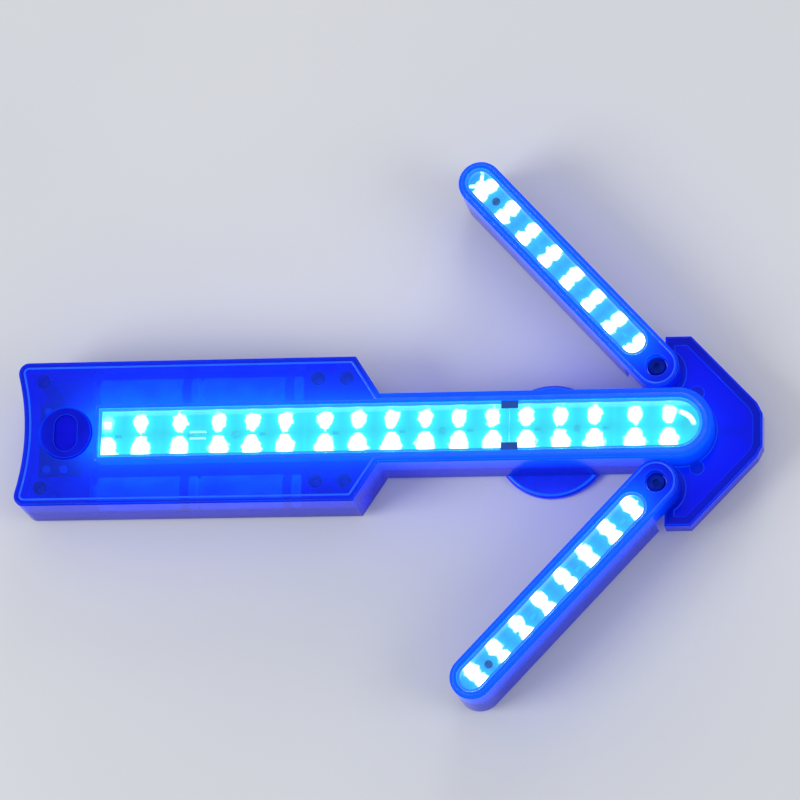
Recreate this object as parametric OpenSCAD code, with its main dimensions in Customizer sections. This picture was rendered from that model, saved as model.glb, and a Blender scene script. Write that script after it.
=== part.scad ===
/* [Main unit] */
// length of the grip, left end to the start of its sloped shoulders
handle_l = 165.8; // [150:0.1:182]
// width of the grip
handle_w = 71.4; // [68:0.1:80]
// length of the sloped shoulders between grip and stem
shoulder_l = 12; // [8:0.1:18]
// length of the narrow stem from the shoulders to the head plate
shaft_l = 135.6; // [120:0.1:160]
// width of the narrow stem
shaft_w = 34.2; // [32:0.1:38]
// thickness of the main unit, back face to front face
body_t = 32; // [30:0.5:38]
// thickness of the moulded walls
wall = 2.2; // [1.8:0.1:2.6]
// height of the parting line above the back face
part_z = 16; // [15:0.5:18]
// depth of the hollow in the left end of the grip
end_dish = 4; // [2:0.5:6]
// radius of the two left corners of the grip
corner_r = 5; // [3:0.5:7]

/* [Head plate] */
// reach of the head plate beyond the stem
head_l = 46.6; // [40:0.1:56]
// width of the head plate across its wings
head_w = 93.4; // [86:0.1:104]
// thickness of the head plate
head_t = 11; // [9:0.5:13]
// width of the blunt tip
tip_w = 26.4; // [20:0.1:34]
// length of the straight wing edges beside the stem
wing_l = 12.4; // [8:0.1:16]
// width of the raised rim round the head plate
head_rim = 4.6; // [3:0.1:6]

/* [Folding arms] */
// width of each arm
arm_w = 21.2; // [20:0.1:24]
// angle of the opened arm from the stem
arm_open_a = 47.3; // [40:0.1:55]
// gap between a folded arm and the stem
arm_gap = 0.7; // [0.5:0.1:1.5]
// gap between the round end of a folded arm and the sloped shoulder
arm_tip_gap = 0.6; // [0.4:0.1:3]
// distance of the pivot behind the head plate
pivot_setback = 2.7; // [2:0.1:4]
// radius of the shoulder screw in the pivot
pivot_r = 3; // [2.5:0.1:3.5]
// radial running clearance in the pivot
pivot_fit = 0.06; // [0.03:0.01:0.09]
// gap between the arm and the ear it turns on
lap_gap = 0.4; // [0.3:0.1:0.6]
// step of the front of the arm below the front of the main unit
arm_step = 0.5; // [0.3:0.1:1]

/* [Edges] */
// width of the small step round the front edges
edge_in = 0.8; // [0.5:0.1:1.2]
// height of the small step round the front edges
edge_h = 0.9; // [0.5:0.1:1.2]
// depth of the sunk panel of the head plate
panel_sink = 0.7; // [0.4:0.1:1]

/* [Light windows] */
// width of the long window
window_w = 24.4; // [22:0.1:26]
// distance of the long window from the left end of the grip
window_start = 40.7; // [38:0.1:44]
// width of the arm windows
arm_window_w = 14.4; // [12:0.1:15]
// thickness of the clear lenses
lens_t = 1.4; // [1.2:0.1:1.5]
// gap round each lens
lens_gap = 0.15; // [0.1:0.05:0.3]
// distance between neighbouring lamps on the main strip
led_pitch = 16.3; // [14:0.1:20]
// extra spacing where two lengths of strip are soldered together
joint_gap = 3; // [1:0.1:3.5]
// distance between neighbouring lamps on the arm strips
arm_led_pitch = 15.5; // [14:0.1:18]
// side of one lamp body
led_s = 3.6; // [2.8:0.1:4.2]
// distance between the two lamp rows of the main strip
row_w = 11.6; // [9:0.1:13]
// distance between the two lamp rows of an arm strip
arm_row_w = 6.8; // [6:0.1:7.6]

/* [Power] */
// length of one battery cell
cell_l = 50.5; // [49:0.5:51]
// radius of one battery cell
cell_r = 7.2; // [6.9:0.05:7.25]
// length of the power button
button_l = 17.5; // [14:0.5:19]
// width of the power button
button_w = 10.6; // [8:0.1:12]
// travel of the power button
button_travel = 1.2; // [0.8:0.1:1.5]
// distance of the button from the left end of the grip
button_x = 24.7; // [23:0.1:26]
// height of the raised ring round the button
bezel_h = 0.8; // [0.5:0.1:1.2]

/* [Back] */
// radius of the round magnet foot
magnet_r = 28; // [24:0.5:31]
// height of the feet under the back face
foot_t = 5; // [4:0.5:7]
// distance of the magnet foot from the head plate
magnet_x = 56; // [48:1:66]
// radius of the rubber feet under the grip
pad_r = 7; // [5:0.5:8]
// thickness of the battery door
door_t = 1.6; // [1.2:0.1:2]

/* [Hidden] */
$fn = 64;

// cut allowance and small assembly gaps
eps = 0.02;
gap = 0.1;
bond = 0.05;

// main unit, from the left end to the tip
total_l = handle_l + shoulder_l + shaft_l + head_l;
x_left = -total_l / 2;
x_sh1 = x_left + handle_l;
x_sh2 = x_sh1 + shoulder_l;
x_head = x_sh2 + shaft_l;
x_tip = x_head + head_l;
z_back = foot_t;
z_part = z_back + part_z;
z_front = z_back + body_t;
z_in = z_back + wall;
z_roof = z_front - wall;
shaft_end_x = x_head + shaft_w * 0.21;
slope_l = sqrt(shoulder_l * shoulder_l + pow((handle_w - shaft_w) / 2, 2));
slope_nx = (handle_w - shaft_w) / 2 / slope_l;
slope_ny = shoulder_l / slope_l;
blue = [0.03, 0.12, 0.95, 0.55];

// pivots and arms
pivot_x = x_head - pivot_setback;
pivot_y = shaft_w / 2 + arm_gap + arm_w / 2;
arm_r = arm_w / 2;
arm_end_x = x_sh2 + (arm_r + arm_tip_gap - slope_ny * (pivot_y - shaft_w / 2)) / slope_nx;
arm_l = pivot_x - arm_end_x + arm_r;
z_arm = z_front - arm_step;
z_arm_roof = z_arm - wall;
ear_r = arm_r - 0.3;
lap_r = 17;
z_head = z_part - head_t;
boss_r = pivot_r + 3;
z_boss = z_arm - 6.2;
washer_t = 0.8;
screw_head_t = 2.4;
screw_head_r = pivot_r + 1.6;
hole_r = screw_head_r + 0.8;

// windows and lamp strips
window_x = x_left + window_start;
window_end_x = shaft_end_x;
split_x = window_x + (window_end_x - window_x) * 0.715;
lens_ledge = 1.4;
z_lens = z_front - lens_t;
board_t = 1.2;
reflector_t = 1.1;
z_board = z_front - 10.7;
led_t = 1.7;
strip_w = window_w - 4.6;
board_x = window_x + 0.3;
board_end_x = window_end_x + window_w / 2 - 2.6;
led_x = window_x + 2.6;
led_joints = [1, 2, 5, 14];
main_leds_n = floor((window_end_x - led_x - 3 * joint_gap) / led_pitch) + 1;
arm_window_s = 9.5;
arm_window_end = arm_l - wall - 1;
arm_led_s = 16;
arm_leds_n = floor((arm_window_end - 3.5 - arm_led_s) / arm_led_pitch) + 1;
z_arm_board = z_arm - 9.9;
arm_strip_w = arm_window_w - 1.8;
arm_tray_in = 0.3;
arm_screw_s = arm_led_s + (arm_leds_n - 1.5) * arm_led_pitch;

// grip
button_cx = x_left + button_x;
bezel_r = button_l / 2 + 4.4;
z_bezel = z_front + bezel_h;
z_control = z_part;
control_t = 1.6;
control_l = 21;
control_x = x_left + 8.5;
switch_t = 4.4;
bay_x = x_left + 34;
bay_l = 2 * cell_l + 4;
bay_end_x = bay_x + bay_l;
cell_y = handle_w / 2 - wall - 1.5 - cell_r - 0.3;
cell_z = z_in + 0.6 + cell_r;
cell_x0 = bay_x + 3.3;
control_w = 2 * (cell_y - 6.5);
control_screw_y = cell_y - 10;
control_spots = [[x_left + 12.5, control_screw_y], [x_left + 21, control_screw_y]];
bay_y = cell_y - cell_r - gap;
rib_t = 1.4;
frame_t = 1.8;
door_gap = 0.15;
door_screw_x = bay_end_x - 9;
post_r = 3.6;
screw_r = 1.5;
head_r = 2.9;
sink = 0.6;
shoulder_free = x_sh1 - bay_end_x;
screw_spots = [[bay_end_x + shoulder_free * 0.314, cell_y + 0.9],
    [bay_end_x + shoulder_free * 0.835, cell_y + 0.7], [x_left + 12.5, cell_y + 2]];
end_spot = [shaft_end_x + 3, 0];
head_spot = [x_head + 15.4, 18.4];
foot_spots = [[x_left + 13.5, 14.5], [x_sh1 - 14, 15.5]];
magnet_cx = x_head - magnet_x;
hub_r = 14;

function joints_before(i) = len([for (j = led_joints) if (j < i) j]);
function led_pos(i) = led_x + i * led_pitch + joints_before(i) * joint_gap;
function head_points() = let (w = head_w / 2, t = tip_w / 2, c = x_head + wing_l)
    [[x_head, -w], [c, -w], [x_tip - 2.6, -t], [x_tip, -t * 0.6], [x_tip, t * 0.6],
    [x_tip - 2.6, t], [c, w], [x_head, w]];

// flat outlines
module slot2d(l, r) {
    translate([0, -r]) square([l, 2 * r]);
    circle(r);
    translate([l, 0]) circle(r);
}

module body2d(in) {
    w = handle_w / 2 - in;
    s = shaft_w / 2 - in;
    x0 = x_left + in;
    dx = in * (1 - slope_ny) / slope_nx;
    r = max(corner_r - in, 1);
    difference() {
        union() {
            polygon([[x0 + r, -w], [x_sh1 - dx, -w], [x_sh2 - dx, -s], [shaft_end_x, -s],
                [shaft_end_x, s], [x_sh2 - dx, s], [x_sh1 - dx, w], [x0 + r, w]]);
            translate([x0, r - w]) square([r + 1, 2 * (w - r)]);
            for (m = [-1, 1]) translate([x0 + r, m * (w - r)]) circle(r);
            translate([shaft_end_x, 0]) circle(s, $fn = 96);
        }
        translate([x_left + end_dish - dish_r(), 0]) circle(dish_r() + in, $fn = 180);
    }
}

function dish_r() = (pow(handle_w / 2 - corner_r - 1, 2) + end_dish * end_dish) / (2 * end_dish);

module head2d(in) {
    polygon(inset(head_points(), in));
}

function turn_left(v) = [-v[1], v[0]] / norm(v);
function cross2(u, v) = u[0] * v[1] - u[1] * v[0];
function meet(p, r, q, t) = p + r * cross2(q - p, t) / cross2(r, t);
function inset(pts, d) = let (n = len(pts)) [for (i = [0:n - 1])
    let (a = pts[(i + n - 1) % n], b = pts[i], c = pts[(i + 1) % n])
    meet(a + d * turn_left(b - a), b - a, b + d * turn_left(c - b), c - b)];

module window2d(more) {
    translate([window_x - more, -window_w / 2 - more])
        square([window_end_x - window_x + more, window_w + 2 * more]);
    translate([window_end_x, 0]) circle(window_w / 2 + more, $fn = 96);
}

module at_spots(spots) {
    for (p = spots, m = [-1, 1]) translate([p[0], m * p[1], 0]) children();
}

// main unit
module rear_shell() {
    color(blue)
    difference() {
        union() {
            translate([0, 0, z_back]) linear_extrude(part_z) body2d(0);
            head_block();
            for (m = [-1, 1]) translate([pivot_x, m * pivot_y, z_head]) cylinder(r = ear_r, h = head_t);
        }
        difference() {
            translate([0, 0, z_in]) linear_extrude(part_z) body2d(wall);
            rear_posts();
            bay_walls();
            door_frame();
            strip_ribs();
        }
        rear_holes();
        for (m = [-1, 1]) ear_bore(m);
        cells_clear();
        door_cut();
    }
}

module head_block() {
    difference() {
        union() {
            translate([0, 0, z_head]) linear_extrude(head_t - edge_h) head2d(0);
            translate([0, 0, z_part - edge_h]) linear_extrude(edge_h) head2d(edge_in);
        }
        translate([0, 0, z_part - panel_sink]) linear_extrude(panel_sink + 1) head_panel2d();
        head_hollow();
    }
}

module head_panel2d() {
    difference() {
        head2d(head_rim);
        translate([shaft_end_x, 0]) circle(shaft_w / 2 + 0.8, $fn = 96);
        for (m = [-1, 1]) translate([pivot_x, m * pivot_y]) circle(arm_r + 2.4);
        for (m = [-1, 1]) translate([head_spot[0], m * head_spot[1]]) circle(3.4);
    }
}

module head_hollow() {
    floor_t = 2 * wall;
    for (m = [-1, 1]) difference() {
        translate([0, 0, z_head - eps]) linear_extrude(head_t - wall) polygon([
            [x_head + 12, m * (shaft_w / 2 + 3)], [x_head + 12, m * (head_w / 2 - 5)],
            [x_head + wing_l + 1, m * (head_w / 2 - 5)], [x_tip - 8, m * (tip_w / 2 - 2)],
            [x_tip - 8, m * floor_t / 2], [shaft_end_x + shaft_w / 2 + 3, m * floor_t / 2]]);
        translate([shaft_end_x, 0, 0]) cylinder(r = shaft_w / 2 + 2, h = z_front);
        translate([head_spot[0], m * head_spot[1], 0]) cylinder(r = post_r, h = z_front);
    }
    translate([0, 0, z_head - eps]) linear_extrude(wall + eps) difference() {
        plate2d(0);
        translate([shaft_end_x, 0]) circle(shaft_w / 2 + 2 - gap);
    }
}

module plate2d(in) {
    polygon([[x_head + 10 + in, -head_w / 2 + 3.4 + in], [x_head + wing_l, -head_w / 2 + 3.4 + in],
        [x_tip - 6 - in, -tip_w / 2 + in / 2], [x_tip - 6 - in, tip_w / 2 - in / 2],
        [x_head + wing_l, head_w / 2 - 3.4 - in], [x_head + 10 + in, head_w / 2 - 3.4 - in]]);
}

module rear_posts() {
    at_spots(screw_spots) translate([0, 0, z_back]) cylinder(r = post_r, h = part_z * 2);
    translate([end_spot[0], 0, z_back]) cylinder(r = post_r, h = part_z * 2);
    translate([magnet_cx, 0, z_back]) cylinder(r = 5, h = wall + 3.4);
    at_spots(control_spots) translate([0, 0, z_back]) cylinder(r = 2.2, h = part_z * 2);
    translate([door_screw_x, 0, z_back]) cylinder(r = post_r, h = wall + 5);
}

module bay_walls() {
    y0 = bay_y - rib_t;
    for (m = [-1, 1]) {
        translate([bay_x - rib_t, m * (y0 + rib_t / 2) - rib_t / 2, z_back])
            cube([bay_l + 2 * rib_t, rib_t, cell_z - z_back + 2]);
        for (x = [bay_x - rib_t, bay_end_x]) translate([x, m > 0 ? y0 : -handle_w / 2, z_back])
            cube([rib_t, handle_w / 2 - y0, 2 * cell_r + 2]);
    }
}

module door_frame() {
    translate([bay_x - 3.4, -handle_w / 2, z_back])
        cube([bay_l + 6.8, handle_w, door_t + gap + frame_t]);
}

module strip_ribs() {
    for (x = [0.18, 0.42, 0.66, 0.9]) translate([x_sh2 + x * shaft_l, -shaft_w / 2, z_back])
        cube([rib_t, shaft_w, wall + 4]);
    for (m = [-1, 1]) translate([x_sh1 - shoulder_free * 0.6, m * shaft_w / 2, z_back])
        rotate([0, 0, m * -22]) cube([shoulder_free * 0.9, rib_t, wall + 7]);
}

module cells_clear() {
    w = handle_w / 2 - wall - 1.5;
    for (m = [-1, 1]) translate([bay_x + eps, m > 0 ? bay_y : -w, z_back - 1])
        cube([bay_l - 2 * eps, w - bay_y, 1 + door_t + gap + frame_t + eps]);
}

module door_cut() {
    translate([bay_x - 2.2, -handle_w / 2 + wall + 0.2, z_back - 1])
        cube([bay_l + 4.4, handle_w - 2 * wall - 0.4, door_t + gap + 1]);
}

module rear_holes() {
    at_spots(screw_spots) post_bore();
    translate([end_spot[0], 0, 0]) post_bore();
    translate([magnet_cx, 0, z_back - 1]) cylinder(r = screw_r, h = wall + 3.6);
    at_spots(control_spots) translate([0, 0, z_control - 6]) cylinder(r = 1 + bond, h = 7);
    translate([door_screw_x, 0, z_back - 1]) cylinder(r = screw_r + bond, h = 7.6);
    for (m = [-1, 1]) translate([head_spot[0], m * head_spot[1], z_head - 1])
        cylinder(r = screw_r, h = head_t - 2);
}

module post_bore() {
    translate([0, 0, z_back - 1]) cylinder(r = head_r + 0.2, h = 1 + sink + 2.2);
    translate([0, 0, z_back]) cylinder(r = screw_r + 0.2, h = part_z + 1);
}

module ear_bore(m) {
    translate([pivot_x, m * pivot_y, z_head - 1]) cylinder(r = pivot_r - 0.8, h = head_t + 2);
    translate([pivot_x, m * pivot_y, z_part - 4]) cylinder(r = pivot_r + bond, h = 5);
}

module front_cover() {
    color(blue)
    difference() {
        union() {
            difference() {
                union() {
                    translate([0, 0, z_part]) linear_extrude(body_t - part_z - edge_h) body2d(0);
                    translate([0, 0, z_front - edge_h]) linear_extrude(edge_h) body2d(edge_in);
                }
                translate([0, 0, z_part - 1]) linear_extrude(z_roof - z_part + 1) body2d(wall);
            }
            cover_posts();
            cover_lip();
        }
        translate([0, 0, z_roof - 1]) linear_extrude(wall + 2) window2d(-lens_ledge);
        translate([0, 0, z_lens - gap]) linear_extrude(lens_t + 1) window2d(0);
        at_spots(screw_spots) cover_bore();
        translate([end_spot[0], 0, 0]) cover_bore();
        translate([button_cx, 0, z_roof - 2]) cylinder(r = bezel_r - 2, h = wall + 4);
        translate([button_cx, 0, z_front - 1.2]) cylinder(r = bezel_r + gap, h = 2);
    }
}

module cover_posts() {
    at_spots(screw_spots) translate([0, 0, z_part]) cylinder(r = post_r, h = body_t - part_z - 1);
    translate([end_spot[0], 0, z_part]) cylinder(r = post_r, h = z_board - z_part - reflector_t - 0.6);
    translate([shaft_end_x - 4, -1.2, z_part]) cube([shaft_w / 2 + 4 - wall / 2, 2.4, 3]);
}

module cover_bore() {
    translate([0, 0, z_part - 1]) cylinder(r = screw_r + bond, h = 9);
}

// thin edge that drops inside the rear shell and keeps the two halves in line
module cover_lip() {
    l = x_sh1 - bay_end_x - 12;
    for (m = [-1, 1]) {
        translate([bay_end_x + 5, m * (handle_w / 2 - wall - 0.7) - 0.6, z_part - 1.6])
            cube([l, 1.2, body_t - part_z]);
        translate([x_sh2 + 8, m * (shaft_w / 2 - wall - 0.6) - 0.4, z_part - 1.6])
            cube([shaft_l - 20, 0.8, 6]);
        translate([x_sh2 + 8, m * (shaft_w / 2 - wall - 0.4) - 0.6, z_part])
            cube([shaft_l - 20, 1.2, 4.4]);
    }
}

module lens_half(x0, x1) {
    difference() {
        translate([0, 0, z_lens]) linear_extrude(lens_t) intersection() {
            window2d(-lens_gap);
            translate([x0, -window_w]) square([x1 - x0, 2 * window_w]);
        }
        lens_notch();
    }
}

module lens_notch() {
    for (m = [-1, 1]) translate([split_x - 4.3, m * (window_w / 2 - 1.9) - 2.1, z_lens - 1])
        cube([8.6, 4.2, lens_t + 2]);
}

module main_lens_left() {
    color([0.5, 0.95, 1, 0.5]) lens_half(window_x, split_x - 0.1);
}

module main_lens_right() {
    color([0.5, 0.95, 1, 0.5]) lens_half(split_x + 0.1, x_tip);
}

module lens_clips() {
    color([0.02, 0.05, 0.25])
    for (m = [-1, 1]) translate([split_x, 0, 0]) {
        translate([-4, m * (window_w / 2 - 1.95) - 1.8, z_lens - gap / 2]) cube([8, 3.6, lens_t - 0.4]);
        translate([-2, m * (window_w / 2 - 3) - 0.6, z_lens - 2]) cube([4, 1.2, 2.4]);
    }
}

module tray(z0, h, out) {
    translate([0, 0, z0]) linear_extrude(h) {
        translate([window_x - out, -window_w / 2 - out])
            square([window_end_x - window_x + out, window_w + 2 * out]);
        translate([window_end_x, 0]) circle(window_w / 2 + out, $fn = 96);
    }
}

module main_reflector() {
    h = z_roof - gap - (z_board - reflector_t);
    color([0.85, 0.95, 1])
    difference() {
        tray(z_board - reflector_t, h, reflector_t);
        tray(z_board, h, 0);
        for (p = board_screw_spots()) translate([p, 0, z_board - 4]) cylinder(r = 1 + bond, h = 6);
    }
}

function board_screw_spots() = let (last = 2 * floor((main_leds_n - 4) / 2) + 1)
    [for (i = [3, 9, last]) led_pos(i) + led_pitch / 2];

module main_board() {
    color([0.92, 0.95, 0.98])
    difference() {
        translate([board_x, -strip_w / 2, z_board]) cube([board_end_x - board_x - 8, strip_w, board_t]);
        for (p = board_screw_spots()) translate([p, 0, z_board - 1]) cylinder(r = 1 + bond, h = 4);
    }
}

// one lamp: flat body with a low clear dome
module led() {
    translate([-led_s / 2, -led_s / 2, 0]) cube([led_s, led_s, led_t * 0.6]);
    translate([0, 0, led_t * 0.5]) cylinder(r1 = led_s * 0.42, r2 = led_s * 0.3, h = led_t * 0.5);
}

module main_leds() {
    color([0.8, 0.95, 1])
    for (i = [0:main_leds_n - 1], m = [-1, 1])
        translate([led_pos(i), m * row_w / 2, z_board + board_t]) led();
}

module resistor() {
    translate([-1.6, -0.8, 0]) cube([3.2, 1.6, 0.6]);
}

module main_resistors() {
    color([0.1, 0.1, 0.12])
    for (i = [0:2:main_leds_n - 2]) translate([led_pos(i) + led_pitch * 0.34, 0, z_board + board_t])
        resistor();
}

module board_screws() {
    color([0.75, 0.75, 0.78])
    for (p = board_screw_spots()) translate([p, 0, z_board + board_t]) pan_screw();
    at_spots(control_spots) translate([0, 0, z_control + control_t]) pan_screw();
}

// small pan head screw, its head seated at z = 0
module pan_screw() {
    translate([0, 0, -2.8]) cylinder(r = 1, h = 3.3);
    rotate_extrude() polygon([[0, 0], [2, 0], [2, 0.5], [1.4, 1], [0, 1]]);
}

// bridging wires where two lengths of strip meet
module strip_jumper() {
    color([0.1, 0.1, 0.12])
    for (m = [-1, 1]) translate([led_pos(2) + led_pitch * 0.35, m * 1.6, z_board + board_t])
        rotate([90, 0, 90]) wire_loop(m);
}

module wire_loop(m) {
    translate([0, 0.9, 0]) {
        cylinder(r = 0.45, h = 7);
        for (z = [0, 7]) translate([0, 0, z]) sphere(r = 0.45);
        for (z = [0, 7]) translate([0, 0, z]) rotate([90, 0, 0]) cylinder(r = 0.45, h = 0.9);
    }
}

// power
module cell(x, m) {
    translate([x, m * cell_y, cell_z]) rotate([0, 90, 0]) rotate_extrude()
        polygon([[0, 0], [cell_r - 1, 0], [cell_r - 1, 0.3], [cell_r, 0.6], [cell_r, cell_l - 2],
            [cell_r - 0.6, cell_l - 1.4], [2.7, cell_l - 1.4], [2.7, cell_l], [0, cell_l]]);
}

module cell_upper_left() {
    color([0.25, 0.3, 0.45]) cell(cell_x0, 1);
}

module cell_upper_right() {
    color([0.25, 0.3, 0.45]) cell(cell_x0 + cell_l + bond, 1);
}

module cell_lower_left() {
    color([0.25, 0.3, 0.45]) cell(cell_x0, -1);
}

module cell_lower_right() {
    color([0.25, 0.3, 0.45]) cell(cell_x0 + cell_l + bond, -1);
}

module contact_springs() {
    color([0.8, 0.8, 0.82])
    for (m = [-1, 1]) translate([bay_x + 0.7, m * cell_y, cell_z]) rotate([0, 90, 0])
        for (i = [0:3]) translate([0, 0, 0.4 + i * 0.5]) rotate_extrude()
            translate([4.6 - i * 0.6, 0]) circle(0.4, $fn = 24);
}

module contact_plates() {
    color([0.8, 0.8, 0.82])
    for (m = [-1, 1], x = [bay_x + gap, bay_end_x - 0.5 - gap])
        translate([x, m * cell_y - 5.5, cell_z - 5.5]) cube([0.5, 11, 13]);
}

module control_board() {
    color([0.05, 0.3, 0.15])
    difference() {
        translate([control_x, -control_w / 2, z_control]) cube([control_l, control_w, control_t]);
        at_spots(control_spots) translate([0, 0, z_control - 1]) cylinder(r = 1 + bond, h = 4);
    }
}

module controller_chip() {
    color([0.08, 0.08, 0.09]) {
        translate([control_x + 2.5, 3.1 - control_screw_y, z_control + control_t]) {
            cube([6, 5, 1.5]);
            for (i = [0:3], s = [-1, 1]) translate([0.8 + i * 1.3, 2 + s * 3, 0]) cube([0.5, 1, 0.7]);
        }
    }
}

module driver_coil() {
    color([0.3, 0.3, 0.32])
    translate([control_x + 7, control_screw_y - 6.5, z_control + control_t]) difference() {
        cylinder(r = 3.6, h = 4);
        translate([0, 0, 3.4]) cylinder(r = 2.4, h = 1);
    }
}

module tact_switch() {
    color([0.12, 0.12, 0.14])
    translate([button_cx - 3.1, -3.1, z_control + control_t]) difference() {
        cube([6.2, 6.2, switch_t]);
        translate([3.1, 3.1, switch_t - 2]) cylinder(r = 1.7, h = 3);
    }
}

module switch_stalk() {
    color([0.7, 0.7, 0.7])
    translate([button_cx, 0, z_control + control_t + switch_t - 2]) cylinder(r = 1.6, h = 3.2);
}

module button2d(more) {
    translate([0, -(button_l - button_w) / 2]) rotate([0, 0, 90])
        slot2d(button_l - button_w, button_w / 2 + more);
}

module button_bezel() {
    color([0.04, 0.15, 0.85])
    translate([button_cx, 0, 0]) difference() {
        union() {
            translate([0, 0, z_front - 1.1]) cylinder(r1 = bezel_r, r2 = bezel_r - 0.7, h = 1.1 + bezel_h);
            translate([0, 0, z_roof - 1.5]) cylinder(r = bezel_r - 2.2, h = wall + 1.4);
        }
        translate([0, 0, z_roof - 3]) linear_extrude(wall + 6) button2d(0.35);
    }
}

module power_button() {
    z_stem = z_control + control_t + switch_t + 1.2 + button_travel + 0.3;
    color([0.02, 0.04, 0.2])
    translate([button_cx, 0, 0]) difference() {
        union() {
            translate([0, 0, z_roof - 1.6]) linear_extrude(wall + 1.6) button2d(0);
            translate([0, 0, z_stem]) cylinder(r = 2.4, h = z_roof - z_stem);
            translate([0, 0, z_roof - 2.9]) linear_extrude(1.3) button2d(1.1);
        }
        translate([0, 0, z_front + 24.3]) sphere(r = 25, $fn = 128);
    }
}

module battery_door() {
    w = handle_w - 2 * wall - 0.4;
    color(blue)
    difference() {
        translate([bay_x - 2.2 + door_gap, -w / 2 + door_gap, z_back])
            cube([bay_l + 4.4 - 2 * door_gap, w - 2 * door_gap, door_t]);
        for (i = [0:5]) translate([bay_x + 8 + i * 3, -9, z_back - 0.1]) cube([1.4, 18, 0.6]);
        translate([door_screw_x, 0, z_back - 1]) cylinder(r = screw_r + 0.2, h = 4);
    }
}

module battery_door_screw() {
    color([0.75, 0.75, 0.78])
    translate([door_screw_x, 0, z_back - 1.2]) {
        screw_head(2.6, 1.15);
        translate([0, 0, 1.1]) cylinder(r = screw_r, h = 6);
    }
}

module screw_head(r, h) {
    difference() {
        rotate_extrude() polygon([[0, 0], [r * 0.75, 0], [r, h * 0.45], [r, h], [0, h]]);
        for (a = [0, 90]) rotate([0, 0, a]) translate([-r * 0.55, -0.3, -1])
            cube([r * 1.1, 0.6, 1 + h * 0.45]);
    }
}

module long_screw(z_end) {
    z0 = z_back + sink;
    translate([0, 0, z0]) screw_head(head_r, 2.2);
    translate([0, 0, z0 + 2.1]) cylinder(r = screw_r, h = z_end - z0 - 2.1);
}

module cover_screws() {
    color([0.75, 0.75, 0.78]) {
        at_spots(screw_spots) long_screw(z_part + 7);
        translate([end_spot[0], 0, 0]) long_screw(z_board - reflector_t - 0.8);
    }
}

module head_back_plate() {
    color(blue)
    difference() {
        translate([0, 0, z_head]) linear_extrude(wall - gap) difference() {
            plate2d(gap);
            translate([shaft_end_x, 0]) circle(shaft_w / 2 + 2 + gap);
        }
        for (m = [-1, 1]) translate([head_spot[0], m * head_spot[1], z_head - 1])
            cylinder(r = screw_r + 0.2, h = 6);
    }
}

module head_screws() {
    color([0.75, 0.75, 0.78])
    for (m = [-1, 1]) translate([head_spot[0], m * head_spot[1], z_head - 1.3]) {
        screw_head(2.6, 1.3);
        translate([0, 0, 1.2]) cylinder(r = screw_r - bond, h = head_t - 3.2);
    }
}

// back
module magnet_cup() {
    color([0.7, 0.72, 0.75])
    translate([magnet_cx, 0, 0]) difference() {
        rotate_extrude($fn = 128) polygon([[0, 1.6], [magnet_r - 3, 1.6], [magnet_r - 3, 0],
            [magnet_r - 0.8, 0], [magnet_r, 0.8], [magnet_r, foot_t - 1.8], [magnet_r - 1, foot_t - 0.8],
            [hub_r, foot_t - 0.8], [hub_r, foot_t], [0, foot_t]]);
        translate([0, 0, -1]) cylinder(r = screw_r + 0.2, h = foot_t + 2);
    }
}

module magnet_ring() {
    color([0.2, 0.2, 0.22])
    translate([magnet_cx, 0, 0.3]) difference() {
        cylinder(r = magnet_r - 3.3, h = 1.25, $fn = 128);
        translate([0, 0, -1]) cylinder(r = 6, h = 4);
    }
}

module magnet_screw() {
    color([0.75, 0.75, 0.78])
    translate([magnet_cx, 0, 0.35]) {
        screw_head(3.4, 1.2);
        translate([0, 0, 1.1]) cylinder(r = screw_r - bond, h = foot_t + wall + 0.8);
    }
}

module rubber_feet() {
    color([0.05, 0.05, 0.06])
    at_spots(foot_spots) rotate_extrude()
        polygon([[0, 0], [pad_r - 0.8, 0], [pad_r, 0.8], [pad_r, foot_t], [0, foot_t]]);
}

module supply_leads() {
    color([0.6, 0.05, 0.05])
    for (m = [-1, 1]) {
        x0 = x_left + 24;
        translate([x0, m * 2.2 - 7.5, z_control + control_t]) {
            cylinder(r = 0.7, h = 3);
            translate([0, 0, 3]) sphere(r = 0.7);
            translate([0, 0, 3]) rotate([0, 90, 0])
                cylinder(r = 0.7, h = window_x - reflector_t - gap - x0);
        }
    }
}

// arms, drawn pointing along +X from a pivot at the origin
module on_arm(m) {
    translate([pivot_x, m * pivot_y, 0]) rotate([0, 0, m * (180 - arm_open_a)]) children();
}

module arm2d(in) {
    slot2d(arm_l - arm_r, arm_r - in);
}

module arm_window2d(more) {
    r = arm_window_w / 2 + more;
    translate([arm_window_s + arm_window_w / 2, 0])
        slot2d(arm_window_end - arm_window_s - arm_window_w, r);
}

module arm_shell() {
    color(blue)
    difference() {
        translate([0, 0, z_back]) linear_extrude(part_z) arm2d(0);
        difference() {
            translate([0, 0, z_in]) linear_extrude(part_z) arm2d(wall);
            translate([0, 0, z_back - 1]) cylinder(r = lap_r + wall, h = part_z + 2);
            for (s = arm_screw_spots()) translate([s, 0, z_back]) cylinder(r = post_r, h = part_z);
            for (s = [0.36, 0.5, 0.64]) translate([s * arm_l, -arm_r, z_back]) cube([rib_t, arm_w, wall + 4]);
        }
        translate([0, 0, z_back - 1]) cylinder(r = lap_r, h = part_z + 2);
        for (s = arm_screw_spots()) translate([s, 0, 0]) post_bore();
    }
}

function arm_screw_spots() = [lap_r + wall + 6, arm_l - arm_r - 6];

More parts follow.
